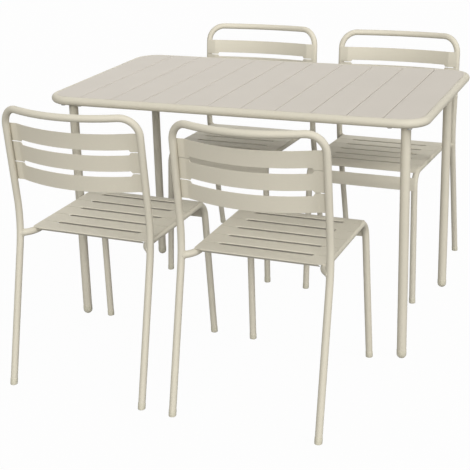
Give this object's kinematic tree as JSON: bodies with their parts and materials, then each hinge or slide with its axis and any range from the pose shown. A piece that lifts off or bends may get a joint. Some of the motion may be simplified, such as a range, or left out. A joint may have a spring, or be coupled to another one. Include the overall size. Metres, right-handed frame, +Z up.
{
  "type": "patio dining set",
  "caption": "Patio table with a planked steel top in a tube rim, and slatted armless chairs bent from steel tube.",
  "frame": {"origin": "on the floor under the middle of the set's box", "axes": "+X along the table's length, +Y from chairs 1 and 2 across the table to chairs 3 and 4, +Z up"},
  "size_m": [1.19, 1.539, 0.813],
  "materials": {
    "frame_coat": "matt powder coat with a very fine texture",
    "plank_coat": "matt powder coat with a very fine texture",
    "cap_plastic": "moulded plastic in the colour of the frame",
    "bolt_zinc": "zinc plated"
  },
  "bodies": {
    "table": {"top_rim": "frame_coat", "under_rail_front": "frame_coat", "under_rail_rear": "frame_coat", "leg_bolts": "bolt_zinc", "leg_caps": "cap_plastic", "plank_1": "plank_coat", "plank_2": "plank_coat", "plank_3": "plank_coat", "plank_4": "plank_coat", "plank_5": "plank_coat", "plank_6": "plank_coat", "plank_7": "plank_coat", "plank_8": "plank_coat", "plank_9": "plank_coat", "plank_10": "plank_coat", "plank_11": "plank_coat", "table_leg_1": "frame_coat", "table_leg_2": "frame_coat", "table_leg_3": "frame_coat", "table_leg_4": "frame_coat", "corner_plate_1": "frame_coat", "corner_plate_2": "frame_coat", "corner_plate_3": "frame_coat", "corner_plate_4": "frame_coat"},
    "chair_1": {"back_hoop_1": "frame_coat", "seat_slats_1": "frame_coat", "apron_1": "frame_coat", "foot_caps_1": "cap_plastic", "side_tube_left_1": "frame_coat", "side_tube_right_1": "frame_coat", "back_slat_top_1": "frame_coat", "back_slat_middle_1": "frame_coat", "back_slat_bottom_1": "frame_coat"},
    "chair_2": {"back_hoop_2": "frame_coat", "seat_slats_2": "frame_coat", "apron_2": "frame_coat", "foot_caps_2": "cap_plastic", "side_tube_left_2": "frame_coat", "side_tube_right_2": "frame_coat", "back_slat_top_2": "frame_coat", "back_slat_middle_2": "frame_coat", "back_slat_bottom_2": "frame_coat"},
    "chair_3": {"back_hoop_3": "frame_coat", "seat_slats_3": "frame_coat", "apron_3": "frame_coat", "foot_caps_3": "cap_plastic", "side_tube_left_3": "frame_coat", "side_tube_right_3": "frame_coat", "back_slat_top_3": "frame_coat", "back_slat_middle_3": "frame_coat", "back_slat_bottom_3": "frame_coat"},
    "chair_4": {"back_hoop_4": "frame_coat", "seat_slats_4": "frame_coat", "apron_4": "frame_coat", "foot_caps_4": "cap_plastic", "side_tube_left_4": "frame_coat", "side_tube_right_4": "frame_coat", "back_slat_top_4": "frame_coat", "back_slat_middle_4": "frame_coat", "back_slat_bottom_4": "frame_coat"}
  },
  "joints": [
    {"name": "chair_1_slide", "type": "slide", "parent": "table", "child": "chair_1", "axis": [0.0349, 0.9994, 0], "range_m": [-0.35, 0.19]},
    {"name": "chair_2_slide", "type": "slide", "parent": "table", "child": "chair_2", "axis": [0.0244, 0.9997, 0], "range_m": [-0.35, 0.19]},
    {"name": "chair_3_slide", "type": "slide", "parent": "table", "child": "chair_3", "axis": [-0.0192, -0.9998, 0], "range_m": [-0.35, 0.15]},
    {"name": "chair_4_slide", "type": "slide", "parent": "table", "child": "chair_4", "axis": [-0.0297, -0.9996, 0], "range_m": [-0.35, 0.15]}
  ]
}
